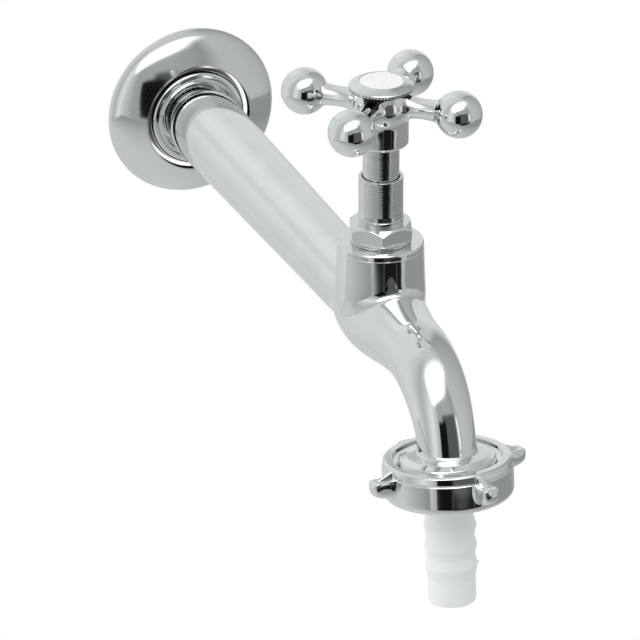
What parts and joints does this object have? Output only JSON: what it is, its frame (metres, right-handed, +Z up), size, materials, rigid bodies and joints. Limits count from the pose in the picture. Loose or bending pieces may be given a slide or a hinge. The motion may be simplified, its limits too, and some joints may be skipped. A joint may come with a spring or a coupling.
{
  "type": "wall-mounted kitchen tap",
  "caption": "Long-arm wall tap with a cross handle on a rising spindle, a round escutcheon, a curved spout and a lugged union nut holding a hose tail.",
  "frame": {"origin": "where the inlet axis meets the wall plane, at the root of the inlet thread", "axes": "+Z up; +Y along the inlet axis into the wall, so the tap reaches out along -Y"},
  "size_m": [0.054, 0.249, 0.1377],
  "materials": {
    "cast_chrome": "polished chrome plate on cast brass",
    "sheet_chrome": "polished chrome plate on pressed sheet",
    "nut_chrome": "polished chrome plate on a cast nut",
    "cap_chrome": "chrome plate, milled edge",
    "turned_chrome": "chrome plate over turned brass, fine tool marks",
    "brass": "bare turned brass",
    "steel": "plain stainless",
    "rubber": "black nitrile rubber",
    "fibre": "red vulcanised fibre",
    "white_plastic": "gloss white",
    "milky_plastic": "milky natural polyethylene"
  },
  "bodies": {
    "tap": {"inlet_adapter": "turned_chrome", "inlet_washer": "fibre", "wall_escutcheon": "sheet_chrome", "tap_body": "cast_chrome", "bonnet": "turned_chrome", "bonnet_gasket": "fibre"},
    "valve": {"jumper": "brass", "seat_washer": "rubber", "washer_nut": "brass"},
    "handle": {"spindle": "turned_chrome", "spindle_ring_lower": "rubber", "spindle_ring_upper": "rubber", "handle_cross": "cast_chrome", "screw_washer": "steel", "handle_screw": "steel", "index_bezel": "cap_chrome", "index_disc": "white_plastic"},
    "tail": {"hose_tail": "milky_plastic", "hose_washer": "rubber"},
    "nut": {"union_nut": "nut_chrome"}
  },
  "joints": [
    {"name": "valve_lift", "type": "slide", "parent": "tap", "child": "valve", "axis": [0, 0, 1], "range_m": [0, 0.005]},
    {"name": "handle_turn", "type": "hinge", "parent": "valve", "child": "handle", "pos_m": [0, -0.1578, 0.04], "axis": [0, 0, 1], "range_deg": [0, 720]},
    {"name": "union_drop", "type": "slide", "parent": "tap", "child": "tail", "axis": [0, -0.1167, -0.9932], "range_m": [0, 0.00273]},
    {"name": "union_turn", "type": "hinge", "parent": "tail", "child": "nut", "pos_m": [0, -0.20803, -0.02189], "axis": [0, -0.1167, -0.9932], "range_deg": [0, 540]}
  ],
  "couplings": [
    {"joint": "handle_turn", "follows": "valve_lift", "rad_per_m": 2513.3},
    {"joint": "union_turn", "follows": "union_drop", "rad_per_m": 3452.2}
  ]
}
